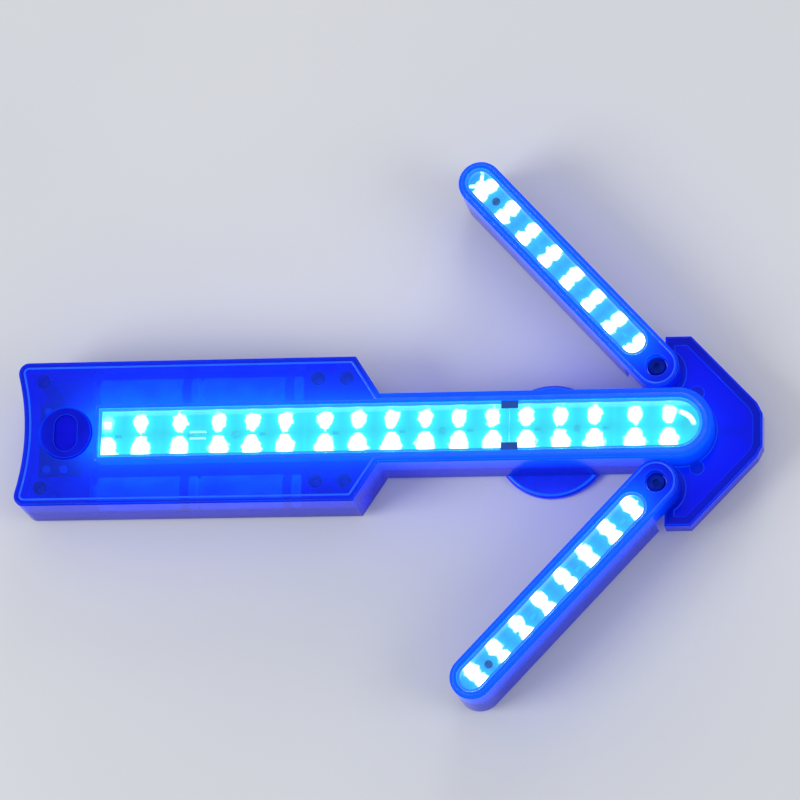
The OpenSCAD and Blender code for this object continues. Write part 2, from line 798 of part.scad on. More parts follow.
module arm_cover() {
    color(blue)
    difference() {
        union() {
            difference() {
                union() {
                    translate([0, 0, z_part]) linear_extrude(z_arm - z_part - edge_h) arm2d(0);
                    translate([0, 0, z_arm - edge_h]) linear_extrude(edge_h) arm2d(edge_in);
                }
                translate([0, 0, z_part - 1]) linear_extrude(z_arm_roof - z_part + 1) arm2d(wall);
            }
            intersection() {
                translate([0, 0, z_part]) linear_extrude(wall + lap_gap) arm2d(0);
                translate([0, 0, z_part]) cylinder(r = lap_r + wall, h = wall + lap_gap);
            }
            translate([0, 0, z_part]) cylinder(r = boss_r, h = z_boss - z_part);
            for (s = arm_screw_spots()) translate([s, 0, z_part])
                cylinder(r = post_r, h = z_arm_board - z_part - reflector_t - 0.8);
            for (s = arm_screw_spots()) translate([s - 0.6, -arm_r + wall / 2, z_part])
                cube([1.2, arm_w - wall, z_arm_board - z_part - reflector_t - 1]);
        }
        translate([0, 0, z_part - 1]) cylinder(r = lap_r, h = 1 + lap_gap);
        translate([0, 0, z_part - 1]) cylinder(r = pivot_r + pivot_fit, h = body_t);
        translate([0, 0, z_boss]) cylinder(r = hole_r, h = body_t);
        translate([0, 0, z_arm_roof - 2]) linear_extrude(wall + 4) arm_window2d(-lens_ledge);
        translate([0, 0, z_arm - lens_t - gap]) linear_extrude(lens_t + 1) arm_window2d(0);
        for (s = arm_screw_spots()) translate([s, 0, 0]) cover_bore_short();
    }
}

module cover_bore_short() {
    translate([0, 0, z_part - 1]) cylinder(r = screw_r + bond, h = 5);
}

module arm_lens() {
    color([0.4, 0.85, 1, 0.5])
    translate([0, 0, z_arm - lens_t]) linear_extrude(lens_t) arm_window2d(-lens_gap);
}

module arm_reflector() {
    h = z_arm_roof - gap - (z_arm_board - reflector_t);
    color([0.85, 0.95, 1])
    difference() {
        translate([0, 0, z_arm_board - reflector_t]) linear_extrude(h)
            arm_window2d(reflector_t - arm_tray_in);
        translate([0, 0, z_arm_board]) linear_extrude(h) arm_window2d(-arm_tray_in);
        translate([arm_screw_s, 0, z_arm_board - 4]) cylinder(r = 1 + bond, h = 6);
    }
}

module arm_board() {
    x0 = arm_window_s + 4;
    x1 = arm_window_end - 1.8;
    color([0.92, 0.95, 0.98])
    difference() {
        translate([0, 0, z_arm_board]) linear_extrude(board_t) intersection() {
            arm_window2d(-1);
            translate([x0, -arm_strip_w / 2]) square([x1 - x0, arm_strip_w]);
        }
        translate([arm_screw_s, 0, z_arm_board - 1]) cylinder(r = 1 + bond, h = 4);
    }
}

module arm_leds() {
    color([0.8, 0.95, 1])
    for (i = [0:arm_leds_n - 1], m = [-1, 1])
        translate([arm_led_s + i * arm_led_pitch, m * arm_row_w / 2, z_arm_board + board_t]) led();
}

module arm_resistors() {
    color([0.1, 0.1, 0.12])
    for (i = [0:2:arm_leds_n - 3]) translate([arm_led_s + (i + 0.5) * arm_led_pitch, 0,
        z_arm_board + board_t]) resistor();
}

module arm_screws() {
    color([0.75, 0.75, 0.78]) {
        translate([arm_screw_s, 0, z_arm_board + board_t]) pan_screw();
        for (s = arm_screw_spots()) translate([s, 0, 0]) long_screw(z_part + 2.7);
    }
}

// shoulder screw: thread in the ear, smooth shoulder in the arm, head under the front hole
module pivot_screw() {
    z_top = z_boss + gap + washer_t;
    translate([0, 0, z_head + 0.6]) cylinder(r = pivot_r - 0.8 - bond, h = head_t - 4);
    translate([0, 0, z_part - 4 + bond]) cylinder(r = pivot_r, h = z_top - z_part + 4);
    translate([0, 0, z_top]) difference() {
        rotate_extrude() polygon([[0, 0], [screw_head_r, 0], [screw_head_r, screw_head_t * 0.6],
            [screw_head_r - 0.8, screw_head_t], [0, screw_head_t]]);
        translate([0, 0, screw_head_t - 1.4]) cylinder(r = 1.7, h = 3, $fn = 6);
    }
}

module pivot_washer() {
    translate([0, 0, z_boss + gap]) difference() {
        cylinder(r = screw_head_r + 0.3, h = washer_t - bond);
        translate([0, 0, -1]) cylinder(r = pivot_r + bond, h = 3);
    }
}

module upper_pivot_screw() {
    color([0.35, 0.36, 0.4]) on_arm(1) pivot_screw();
}

module upper_pivot_washer() {
    color([0.7, 0.72, 0.75]) on_arm(1) pivot_washer();
}

module lower_pivot_screw() {
    color([0.35, 0.36, 0.4]) on_arm(-1) pivot_screw();
}

module lower_pivot_washer() {
    color([0.7, 0.72, 0.75]) on_arm(-1) pivot_washer();
}

module upper_arm_shell() {
    on_arm(1) arm_shell();
}

module upper_arm_cover() {
    on_arm(1) arm_cover();
}

module upper_arm_lens() {
    on_arm(1) arm_lens();
}

module upper_arm_reflector() {
    on_arm(1) arm_reflector();
}

module upper_arm_board() {
    on_arm(1) arm_board();
}

module upper_arm_leds() {
    on_arm(1) arm_leds();
}

module upper_arm_resistors() {
    on_arm(1) arm_resistors();
}

module upper_arm_screws() {
    on_arm(1) arm_screws();
}

module lower_arm_shell() {
    on_arm(-1) arm_shell();
}

module lower_arm_cover() {
    on_arm(-1) arm_cover();
}

module lower_arm_lens() {
    on_arm(-1) arm_lens();
}

module lower_arm_reflector() {
    on_arm(-1) arm_reflector();
}

module lower_arm_board() {
    on_arm(-1) arm_board();
}

module lower_arm_leds() {
    on_arm(-1) arm_leds();
}

module lower_arm_resistors() {
    on_arm(-1) arm_resistors();
}

module lower_arm_screws() {
    on_arm(-1) arm_screws();
}

rear_shell();
front_cover();
main_lens_left();
main_lens_right();
lens_clips();
main_reflector();
main_board();
main_leds();
main_resistors();
board_screws();
strip_jumper();
cell_upper_left();
cell_upper_right();
cell_lower_left();
cell_lower_right();
contact_springs();
contact_plates();
control_board();
controller_chip();
driver_coil();
tact_switch();
switch_stalk();
button_bezel();
power_button();
battery_door();
battery_door_screw();
cover_screws();
head_back_plate();
head_screws();
magnet_cup();
magnet_ring();
magnet_screw();
rubber_feet();
supply_leads();
upper_pivot_screw();
upper_pivot_washer();
upper_arm_shell();
upper_arm_cover();
upper_arm_lens();
upper_arm_reflector();
upper_arm_board();
upper_arm_leds();
upper_arm_resistors();
upper_arm_screws();
lower_pivot_screw();
lower_pivot_washer();
lower_arm_shell();
lower_arm_cover();
lower_arm_lens();
lower_arm_reflector();
lower_arm_board();
lower_arm_leds();
lower_arm_resistors();
lower_arm_screws();
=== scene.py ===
import math

import bpy
import numpy as np
from mathutils import Matrix, Vector


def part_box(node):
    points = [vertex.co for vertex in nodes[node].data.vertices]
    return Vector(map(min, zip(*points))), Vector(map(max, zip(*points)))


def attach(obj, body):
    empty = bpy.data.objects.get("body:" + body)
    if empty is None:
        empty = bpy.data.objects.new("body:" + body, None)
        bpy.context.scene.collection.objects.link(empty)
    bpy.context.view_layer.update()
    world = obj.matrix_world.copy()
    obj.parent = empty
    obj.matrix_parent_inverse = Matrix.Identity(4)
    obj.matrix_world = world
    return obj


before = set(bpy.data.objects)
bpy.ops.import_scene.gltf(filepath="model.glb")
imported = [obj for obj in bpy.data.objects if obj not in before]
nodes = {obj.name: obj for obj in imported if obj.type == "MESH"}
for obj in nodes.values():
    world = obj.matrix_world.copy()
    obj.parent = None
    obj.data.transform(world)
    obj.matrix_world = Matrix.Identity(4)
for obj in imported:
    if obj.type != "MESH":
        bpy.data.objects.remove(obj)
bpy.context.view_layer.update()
mm = 0.001


class Wire:
    # an output socket, so that shader maths reads as plain sums
    def __init__(self, paint, socket):
        self.paint = paint
        self.socket = socket

    def __add__(self, other):
        return self.paint.maths("ADD", self, other)

    def __radd__(self, other):
        return self.paint.maths("ADD", other, self)

    def __sub__(self, other):
        return self.paint.maths("SUBTRACT", self, other)

    def __rsub__(self, other):
        return self.paint.maths("SUBTRACT", other, self)

    def __mul__(self, other):
        return self.paint.maths("MULTIPLY", self, other)

    def __rmul__(self, other):
        return self.paint.maths("MULTIPLY", other, self)

    def __truediv__(self, other):
        return self.paint.maths("DIVIDE", self, other)

    def __rtruediv__(self, other):
        return self.paint.maths("DIVIDE", other, self)

    def __gt__(self, other):
        return self.paint.maths("GREATER_THAN", self, other)

    def __lt__(self, other):
        return self.paint.maths("LESS_THAN", self, other)

    def __neg__(self):
        return self.paint.maths("MULTIPLY", self, -1.0)

    def __abs__(self):
        return self.paint.maths("ABSOLUTE", self)


edgeLook = {"bevelSamples": 6, "turned": 0.90, "flat": 0.998}  # how far a rounded and the flat normal agree


class Paint:
    # a material's or world's nodes; node() adds one, sets it up, fills its sockets and gives back an output
    def __init__(self, owner):
        owner.use_nodes = True
        self.owner = owner
        self.tree = owner.node_tree
        self.tree.nodes.clear()

    def node(self, kind, settings=None, inputs=None, out=0):
        made = self.tree.nodes.new(kind)
        for key, value in (settings or {}).items():
            setattr(made, key, value)
        for key, value in (inputs or {}).items():
            if isinstance(value, Wire):
                self.tree.links.new(value.socket, made.inputs[key])
            elif made.inputs[key].type == "RGBA":
                made.inputs[key].default_value = (*value, 1)
            else:
                made.inputs[key].default_value = value
        return Wire(self, made.outputs[out]) if len(made.outputs) else None

    def maths(self, operation, first, second=0.0):
        return self.node("ShaderNodeMath", {"operation": operation}, {0: first, 1: second})

    def smooth(self, value, low, high):
        # 0 below low, 1 above high, an even curve between
        return self.node("ShaderNodeMapRange", {"interpolation_type": "SMOOTHSTEP"},
                         {"Value": value, "From Min": low, "From Max": high})

    def within(self, value, low, high):
        # 1 below low, 0 above high
        return 1 - self.smooth(value, low, high)

    def far(self, first, second):
        # length of the two together: the root of the sum of their squares
        return self.maths("SQRT", first * first + second * second)

    def mix(self, share, first, second):
        return self.node("ShaderNodeMix", {"data_type": "RGBA"}, {0: share, 6: first, 7: second}, 2)

    def scaled(self, color, amount):
        return self.node("ShaderNodeVectorMath", {"operation": "SCALE"}, {0: color, "Scale": amount})

    def added(self, first, second):
        return self.node("ShaderNodeVectorMath", {"operation": "ADD"}, {0: first, 1: second})

    def noise(self, scale, detail=2.0, stretch=None):
        where = self.place()
        if stretch:
            where = self.node("ShaderNodeMapping", {}, {"Vector": where, "Scale": stretch})
        return self.node("ShaderNodeTexNoise", {}, {"Vector": where, "Scale": scale, "Detail": detail})

    def place(self, centre=None, turn=0.0):
        # object coordinates, or those measured from a centre and turned to a piece's own length
        spot = self.node("ShaderNodeTexCoord", out="Object")
        if centre is None:
            return spot
        return self.node("ShaderNodeMapping", {"vector_type": "TEXTURE"},
                         {"Vector": spot, "Location": centre, "Rotation": (0, 0, turn)})

    def split(self, vector):
        parts = self.node("ShaderNodeSeparateXYZ", {}, {0: vector})
        return [Wire(self, socket) for socket in parts.socket.node.outputs]

    def rounded(self, radius):
        return self.node("ShaderNodeBevel", {"samples": edgeLook["bevelSamples"]}, {"Radius": radius})

    def edges(self, softNormal):
        # 1 where the rounded normal leaves the flat one, along edges
        flat = self.node("ShaderNodeNewGeometry", out="Normal")
        match = self.node("ShaderNodeVectorMath", {"operation": "DOT_PRODUCT"},
                          {0: softNormal, 1: flat}, "Value")
        return self.within(match, edgeLook["turned"], edgeLook["flat"])

    def bump(self, height, depth, normal=None):
        inputs = {"Height": height, "Strength": 1.0, "Distance": depth}
        if normal:
            inputs["Normal"] = normal
        return self.node("ShaderNodeBump", {}, inputs)

    def surface(self, **inputs):
        named = {key.replace("_", " "): value for key, value in inputs.items()}
        shader = self.node("ShaderNodeBsdfPrincipled", {}, named)
        self.node("ShaderNodeOutputMaterial", {}, {"Surface": shader})
        return self.owner


def newPaint(name):
    return Paint(bpy.data.materials.new(name))


def dress(material, *names):
    for name in names:
        slots = nodes[name].data.materials
        slots.clear()
        slots.append(material)


# camera, floor and light

cameraPlace = {
    "right": (0.987833, 0.021241, -0.154058),
    "up": (0.019318, 0.966195, 0.257087),
    "back": (0.154311, -0.256935, 0.954030),
    "at": (0.34005, -0.53969, 2.09055),
    "lens": 202.5,
    "sensor": 36.0,
    "clip": (0.05, 20.0),
}
camera = bpy.data.objects.new("camera", bpy.data.cameras.new("camera"))
bpy.context.scene.collection.objects.link(camera)
axes = np.array([cameraPlace[key] for key in ("right", "up", "back", "at")]).T
camera.matrix_world = Matrix([*axes.tolist(), [0.0, 0.0, 0.0, 1.0]])
camera.data.lens = cameraPlace["lens"]
camera.data.sensor_width = cameraPlace["sensor"]
camera.data.clip_start, camera.data.clip_end = cameraPlace["clip"]
bpy.context.scene.camera = camera

studio = {
    "floorColor": (0.80, 0.82, 0.86),
    "floorShade": (0.74, 0.77, 0.82),
    "floorCloud": 2.2,
    "floorClouded": (0.35, 0.7),
    "floorGrain": 420.0,
    "floorRoughness": 0.75,
    "floorBump": 0.04 * mm,
    "floorHalf": 4.0,
    "floorDrop": 0.2 * mm,
    "skyLight": (0.42, 0.42, 0.42),
    "skyShown": (0.70, 0.72, 0.77),
    "lamps": {
        "key": {"at": (-1.35, -0.55, 1.15), "size": 1.0, "power": 14.0},
        "fill": {"at": (1.4, -0.4, 0.95), "size": 1.0, "power": 6.0},
        "rim": {"at": (0.3, 1.6, 0.62), "size": 0.9, "power": 6.0},
    },
}


def floorPaint():
    # pale and faintly clouded; seen from below, it lets the view through
    paint = newPaint("paleFloor")
    cloud = paint.smooth(paint.noise(studio["floorCloud"], 3.0), *studio["floorClouded"])
    grain = paint.noise(studio["floorGrain"])
    shader = paint.node("ShaderNodeBsdfPrincipled", {}, {
        "Base Color": paint.mix(cloud, studio["floorColor"], studio["floorShade"]),
        "Roughness": studio["floorRoughness"],
        "Normal": paint.bump(grain, studio["floorBump"])})
    clear = paint.node("ShaderNodeBsdfTransparent")
    under = paint.node("ShaderNodeNewGeometry", out="Backfacing")
    both = paint.node("ShaderNodeMixShader", {}, {0: under, 1: shader, 2: clear})
    paint.node("ShaderNodeOutputMaterial", {}, {"Surface": both})
    return paint.owner


half, low = studio["floorHalf"], -studio["floorDrop"]
floorMesh = bpy.data.meshes.new("floor")
floorMesh.from_pydata(
    [(-half, -half, low), (half, -half, low), (half, half, low), (-half, half, low)], [], [(0, 1, 2, 3)])
floorMesh.materials.append(floorPaint())
floor = bpy.data.objects.new("floor", floorMesh)
bpy.context.scene.collection.objects.link(floor)

for name, look in studio["lamps"].items():
    lamp = bpy.data.objects.new(name, bpy.data.lights.new(name, "AREA"))
    lamp.data.shape = "DISK"
    lamp.data.size = look["size"]
    lamp.data.energy = look["power"]
    lamp.location = look["at"]
    lamp.rotation_euler = (-Vector(look["at"])).to_track_quat("-Z", "Y").to_euler()
    bpy.context.scene.collection.objects.link(lamp)

world = bpy.data.worlds.new("studio")
bpy.context.scene.world = world
sky = Paint(world)
shown = sky.node("ShaderNodeLightPath", out="Is Camera Ray")
for ray in ("Is Glossy Ray", "Is Transmission Ray"):
    shown = sky.maths("MAXIMUM", shown, sky.node("ShaderNodeLightPath", out=ray))
background = sky.node("ShaderNodeBackground", {}, {
    "Color": sky.mix(shown, studio["skyLight"], studio["skyShown"])})
sky.node("ShaderNodeOutputWorld", {}, {"Surface": background})
bpy.context.scene.view_settings.view_transform = "Standard"
print("camera, floor and light ready")


# where the lamps and windows are: the main strip's along x, an arm's along the arm from its pivot

arrowLayout = {
    "main": {
        "firstLamp": -136.7 * mm,
        "pitch": 16.3 * mm,
        "lamps": 17,
        "rows": 5.8 * mm,
        "joints": (1, 2, 5, 14),
        "jointGap": 3.0 * mm,
        "window": (-139.3 * mm, 140.58 * mm, 12.2 * mm),
        "glowFrom": -134.42 * mm,
    },
    "arm": {
        "firstLamp": 16.0 * mm,
        "pitch": 15.5 * mm,
        "lamps": 8,
        "rows": 3.4 * mm,
        "joints": (),
        "jointGap": 0.0,
        "window": (16.7 * mm, 127.06 * mm, 7.2 * mm),
        "glowFrom": 16.7 * mm,
    },
    "pivot": (130.7 * mm, 28.4 * mm),
    "armTurn": math.radians(132.7),
    "armReach": 126.86 * mm,
    "armHalf": 10.6 * mm,
}


def partOf(side):
    # side is 0 for the main unit, 1 for the upper arm and -1 for the lower one
    return "main" if side == 0 else "arm"


def ownPlace(paint, side):
    # x, y and z along a piece: the main unit's own, or an arm's from its pivot
    if side == 0:
        return paint.split(paint.place())
    px, py = arrowLayout["pivot"]
    return paint.split(paint.place((px, side * py, 0), side * arrowLayout["armTurn"]))


def windowReach(paint, side):
    # distance outside the lit window: that to its middle line less its half width, never under 0
    x, y, z = ownPlace(paint, side)
    layout = arrowLayout[partOf(side)]
    end, half = layout["window"][1:]
    beyond = paint.maths("MAXIMUM", paint.maths("MAXIMUM", layout["glowFrom"] - x, x - end), 0.0)
    return paint.maths("MAXIMUM", paint.far(beyond, y) - half, 0.0)


def lampField(paint, side):
    # distance to the nearest lamp along the strip, distance across it to the middle of a row, the lamp's
    # number along the strip, and y
    x, y, z = ownPlace(paint, side)
    layout = arrowLayout[partOf(side)]
    first, pitch, gap = layout["firstLamp"], layout["pitch"], layout["jointGap"]
    run = x - first
    for before, joint in enumerate(layout["joints"]):
        middle = first + joint * pitch + before * gap + (pitch + gap) / 2
        run = run - gap * (x > middle)
    which = paint.maths("MINIMUM", paint.maths("MAXIMUM", paint.maths("ROUND", run / pitch), 0.0),
                        layout["lamps"] - 1.0)
    return run - which * pitch, abs(y) - layout["rows"], which, y


lampLook = {
    "white": (1.0, 0.96, 0.93),
    "between": (0.25, 0.42, 0.42),
    "body": (0.80, 0.92, 0.95),
    "bodyShade": (0.6, 0.8, 0.85),
    "roughness": 0.15,
    "cloud": 900.0,
    "bump": 0.01 * mm,
    "strength": 6.0,
    "core": (1.9 * mm, 2.8 * mm),
    "spread": {"main": (4.1 * mm, 5.6 * mm), "arm": (3.3 * mm, 4.2 * mm)},
    "halo": (0.25, 1.6),
    "wobble": 1.6,
    "wobbleScale": 380.0,
    "upperRow": 0.60,
    "lift": 0.6 * mm,
    "pear": 0.35,
    "upperPear": 1.6,
    "leastBright": 0.85,
    "brightRange": 0.3,
    "dim": 0.85,
    "draw": 7.3,
}


def dimLamp(which, upper):
    # the first lamp of the upper row is nearly out
    return (which < 0.5) * upper * lampLook["dim"]


def lampGlow(paint, side):
    # painted halo of each lamp on its strip and tray: a smooth step down of (along / width) squared plus
    # (across / height) squared, on the main strip wider at the bottom like a pear and smaller in the upper
    # row
    along, across, which, y = lampField(paint, side)
    wide, high = lampLook["spread"][partOf(side)]
    upper = y > 0.0
    each = paint.node("ShaderNodeTexWhiteNoise", {"noise_dimensions": "1D"},
                      {"W": which * 2 + upper + lampLook["draw"]})
    wobble = (paint.noise(lampLook["wobbleScale"]) - 0.5) * lampLook["wobble"]
    bright = each * lampLook["brightRange"] + lampLook["leastBright"]
    if side == 0:
        across = y - lampLook["lift"] - (upper * 2 - 1) * arrowLayout["main"]["rows"]
        wide = wide * (1 - across / high * lampLook["pear"] * (1 - upper * lampLook["upperPear"]))
        bright = bright * (1 - dimLamp(which, upper))
    a, b = along / wide, across / high
    drop = a * a + b * b
    if side == 0:
        drop = drop * (1 + upper * (1 / lampLook["upperRow"] - 1))
    return paint.within(drop * (1 + wobble), *lampLook["halo"]) * bright, drop


glintLook = {
    "color": (0.75, 1.0, 0.95),
    "line": 0.04,
    "lineInset": (2.2 * mm, 0.8 * mm),
    "curl": 0.8,
    "curlRadius": 7.4 * mm,
    "curlHalf": (0.5 * mm, 1.5 * mm),
    "curlAbove": (0.5 * mm, 3.0 * mm),
    "curlPast": (-0.5 * mm, 2.0 * mm),
    "star": 0.9,
    "starPast": 0.8 * mm,
    "starLean": 0.9,
    "starHalf": (0.5 * mm, 1.5 * mm),
    "starReach": (4.0 * mm, 7.5 * mm),
    "starCore": (1.8 * mm, 3.4 * mm),
}


def trayGlints(paint, side):
    # painted reflections of the lamps: lines along the tray's long edges, a curl at its round end, and a
    # star at the upper arm's tip
    x, y, z = ownPlace(paint, side)
    look = glintLook
    end, half = arrowLayout[partOf(side)]["window"][1:]
    wide, narrow = look["lineInset"]
    glints = paint.smooth(abs(y), half - wide, half - narrow) * look["line"]
    if side == 0:
        past = x - end
        curl = paint.within(abs(paint.far(past, y) - look["curlRadius"]), *look["curlHalf"])
        curl = curl * paint.smooth(y, *look["curlAbove"]) * paint.smooth(past, *look["curlPast"])
        glints = glints + curl * look["curl"]
    if side == 1:
        past = x - (end + look["starPast"])
        far = paint.far(past, y)
        cross = paint.maths("MINIMUM", abs(past - y * look["starLean"]), abs(past + y * look["starLean"]))
        star = paint.within(cross, *look["starHalf"]) * paint.within(far, *look["starReach"])
        star = paint.maths("MAXIMUM", star, paint.within(far, *look["starCore"]))
        glints = glints + star * look["star"]
    return glints


# clear blue moulding

plasticLook = {
    "color": (0.0006, 0.012, 0.88),
    "deep": (0.0003, 0.005, 0.68),
    # back and backFade: painted shade, darker towards the back
    "back": (0.0004, 0.004, 0.46),
    "backFade": (0.0, 30.0 * mm),
    # rim and rimShare: a painted highlight along the edges
    "rim": (0.012, 0.13, 1.0),
    "rimShare": 0.75,
    "clearness": 0.5,
    "roughness": 0.09,
    "index": 1.26,
    "shine": 0.22,
    "edgeRadius": 0.45 * mm,
    "cloud": 55.0,
    "clouded": (0.3, 0.72),
    "grain": 2600.0,
    "swirl": 240.0,
    "swirlStretch": (0.35, 1.0, 1.0),
    "bump": 0.02 * mm,
    "seamAt": 21.0 * mm,
    "seamHalf": (0.06 * mm, 0.22 * mm),
    "seamColor": (0.0, 0.006, 0.22),
    "seamShare": 0.8,
    "seamDepth": 2.5,
    # self, glow, glowReach, glowFront, glowAmount and edgeGlow: painted glow standing in for the strips'
    # light
    "self": (0.0, 0.001, 0.06),
    "glow": (0.0, 0.135, 1.0),
    "glowReach": 6.5 * mm,
    "glowFront": (15.0 * mm, 36.0 * mm),
    "glowAmount": 0.8,
    "edgeGlow": (0.0, 0.045, 0.405),
}
mainLook = {
    # self and outer: painted glow, strongest inside
    "self": (0.0, 0.003, 0.32),
    "outer": 0.16,
    "floorAt": (6.2 * mm, 7.0 * mm),
    "wall": (0.6 * mm, 1.4 * mm),
    "headFrom": (130.0 * mm, 136.0 * mm),
    "headAbove": (9.0 * mm, 20.0 * mm),
    "postShadow": True,
}
frontLook = {
    "color": (0.0006, 0.085, 0.93),
    "deep": (0.0004, 0.055, 0.82),
    "clearness": 0.82,
    "self": (0.0, 0.0, 0.13),
    "postShadow": True,
}
postLook = {
    "at": (-167.5 * mm, -32.7 * mm, -18.7 * mm),
    "off": 25.3 * mm,
    "radius": (3.5 * mm, 4.6 * mm),
    "below": (33.0 * mm, 34.6 * mm),
    "color": (0.0, 0.001, 0.20),
    "shade": 0.65,
}
bodyShape = {
    "left": -180.0 * mm,
    "shoulder": -14.2 * mm,
    "neck": -2.2 * mm,
    "roundAt": 140.58 * mm,
    "half": 35.7 * mm,
    "neckHalf": 17.1 * mm,
    "corner": 5.0 * mm,
    "leastCorner": 1.0 * mm,
    "dish": 4.0 * mm,
    "dishMargin": 1.0 * mm,
}


def innerShare(paint, look):
    # share of the painted self glow: 1 on the inner faces and on the head plate, look["outer"] outside, so
    # that the outside still shades
    x, y, z = paint.split(paint.place())
    shape = bodyShape
    slope = paint.smooth(x, shape["shoulder"], shape["neck"])
    reach = shape["half"] - slope * (shape["half"] - shape["neckHalf"])
    past = paint.maths("MAXIMUM", x - shape["roundAt"], 0.0)
    inner = paint.smooth(z, *look["floorAt"]) * paint.smooth(reach - paint.far(past, y), *look["wall"])
    head = paint.smooth(x, *look["headFrom"]) * paint.smooth(z, *look["headAbove"])
    return paint.maths("MAXIMUM", inner, head) * (1 - look["outer"]) + look["outer"]


def paintedPostShadow(paint, x, y, z):
    # 1 in the screw posts of the grip: a painted shadow that shows as dark spots through its front and dims
    #                                   the painted glow there
    first, second, third = (abs(x - at) for at in postLook["at"])
    along = paint.maths("MINIMUM", paint.maths("MINIMUM", first, second), third)
    post = paint.within(paint.far(along, abs(y) - postLook["off"]), *postLook["radius"])
    return post * paint.within(z, *postLook["below"]) * postLook["shade"]


def clearBlue(name, side, glow=1.0, seam=True, **changes):
    # clouded blue with a mould line, painted shade darker towards the back, a painted highlight brightening
    # the edges, and a painted glow near the window and from within that stands in for the strips' light
    paint = newPaint(name)
    look = {**plasticLook, **changes}
    x, y, z = paint.split(paint.place())
    soft = paint.rounded(look["edgeRadius"])
    edge = paint.edges(soft)
    cloud = paint.noise(look["cloud"], 3.0)
    grain = paint.noise(look["grain"])
    swirl = paint.noise(look["swirl"], 4.0, look["swirlStretch"])
    color = paint.mix(paint.smooth(cloud, *look["clouded"]), look["color"], look["deep"])
    # painted shade: darker towards the back
    color = paint.mix(paint.smooth(z, *look["backFade"]), look["back"], color)
    # painted highlight along the edges
    color = paint.mix(edge * look["rimShare"], color, look["rim"])
    height = grain * 0.5 + swirl * 0.5
    if seam:
        line = paint.within(abs(z - look["seamAt"]), *look["seamHalf"])
        color = paint.mix(line * look["seamShare"], color, look["seamColor"])
        height = height - line * look["seamDepth"]
    # painted glow of the strips' light, near the window, inside and along the edges
    near = paint.maths("EXPONENT", -(windowReach(paint, side) / look["glowReach"]))
    front = paint.smooth(z, *look["glowFront"]) * 0.9 + 0.1
    lit = paint.scaled(look["glow"], near * front * (look["glowAmount"] * glow))
    share = paint.smooth(cloud, 0.2, 0.8) * 0.5 + 0.6
    if "outer" in look:
        share = share * innerShare(paint, look)
    if "postShadow" in look:
        # painted shadow of the screw posts
        postShadow = paintedPostShadow(paint, x, y, z)
        color = paint.mix(postShadow, color, postLook["color"])
        share = share * (1 - postShadow)
    lit = paint.added(lit, paint.scaled(look["self"], share))
    lit = paint.added(lit, paint.scaled(look["edgeGlow"], edge))
    return paint.surface(
        Base_Color=color,
        Roughness=paint.smooth(swirl, 0.2, 0.8) * 0.07 + look["roughness"],
        Transmission_Weight=look["clearness"],
        IOR=look["index"],
        Specular_IOR_Level=look["shine"],
        Emission_Color=lit,
        Emission_Strength=1.0,
        Normal=paint.bump(height, look["bump"], soft),
    )


dress(clearBlue("clearBlueMain", 0, **mainLook), "rear_shell", "head_back_plate")
dress(clearBlue("clearBlueFront", 0, **frontLook), "front_cover")
dress(clearBlue("clearBlueDoor", 0, 0.0, False, clearness=0.45), "battery_door")
dress(clearBlue("clearBlueRing", 0, 0.0, False, clearness=0.25), "button_bezel")
dress(clearBlue("clearBlueUpper", 1, 1.1), "upper_arm_shell", "upper_arm_cover")
dress(clearBlue("clearBlueLower", -1, 1.1), "lower_arm_shell", "lower_arm_cover")
print("clear blue moulding ready")


# lenses, trays, strips and lamps

lensLook = {
    "main": {"tint": (0.90, 0.99, 1.0), "paintedHazeGlow": (0.0, 0.06, 0.08)},
    "arm": {"tint": (0.87, 0.97, 1.0), "paintedHazeGlow": (0.0, 0.03, 0.09)},
    # edge and edgeGlow: painted highlight and painted glow on the lens edges
    "edge": (0.05, 0.62, 0.90),
    "edgeGlow": (0.0, 0.25, 0.4),
    "edgeRadius": 0.3 * mm,
    "roughness": 0.05,
    "index": 1.40,
    "frost": 1500.0,
    "ripple": 90.0,
    "bump": 0.015 * mm,
}


def lensPaint(name, side):
    # clear and lightly frosted, with a faint painted haze glow and a painted highlight and glow on its
    # edges
    paint = newPaint(name)
    look = {**lensLook, **lensLook[partOf(side)]}
    soft = paint.rounded(look["edgeRadius"])
    edge = paint.edges(soft)
    frost = paint.noise(look["frost"], 3.0)
    ripple = paint.noise(look["ripple"])
    # painted haze glow of the lamps' light in the lens
    paintedHazeGlow = paint.scaled(look["paintedHazeGlow"], ripple * 0.5 + 0.75)
    return paint.surface(
        Base_Color=paint.mix(edge * 0.6, look["tint"], look["edge"]),
        Roughness=paint.smooth(frost, 0.3, 0.7) * 0.05 + look["roughness"],
        Transmission_Weight=1.0,
        IOR=look["index"],
        Emission_Color=paint.added(paintedHazeGlow, paint.scaled(look["edgeGlow"], edge)),
        Emission_Strength=1.0,
        Normal=paint.bump(frost + ripple * 3.0, look["bump"], soft),
    )


stripLook = {
    # the base, copper and track colours carry a painted cyan cast of the strips' light; glow and ring are
    # painted glow
    "main": {"paintedCyanCast": (0.002, 0.20, 0.26), "glow": (0.0, 0.44, 0.49), "ring": (0.0, 0.30, 0.30)},
    "arm": {"paintedCyanCast": (0.001, 0.10, 0.24), "glow": (0.0, 0.22, 0.56), "ring": (0.0, 0.26, 0.36)},
    "maskShade": 0.6,
    "copper": (0.02, 0.14, 0.17),
    "line": (0.001, 0.12, 0.20),
    "strength": 3.2,
    "ringFade": 0.35,
    "roughness": 0.45,
    "trayRoughness": 0.35,
    "cloud": 130.0,
    "grain": 1800.0,
    "bump": 0.03 * mm,
    "padFrom": (2.0 * mm, 2.1 * mm),
    "padTo": (3.1 * mm, 3.2 * mm),
    "padHalf": (1.9 * mm, 2.0 * mm),
    "comb": 0.6 * mm,
    "combGap": (0.26 * mm, 0.34 * mm),
    "trackAt": 1.9 * mm,
    "trackHalf": (0.18 * mm, 0.28 * mm),
}


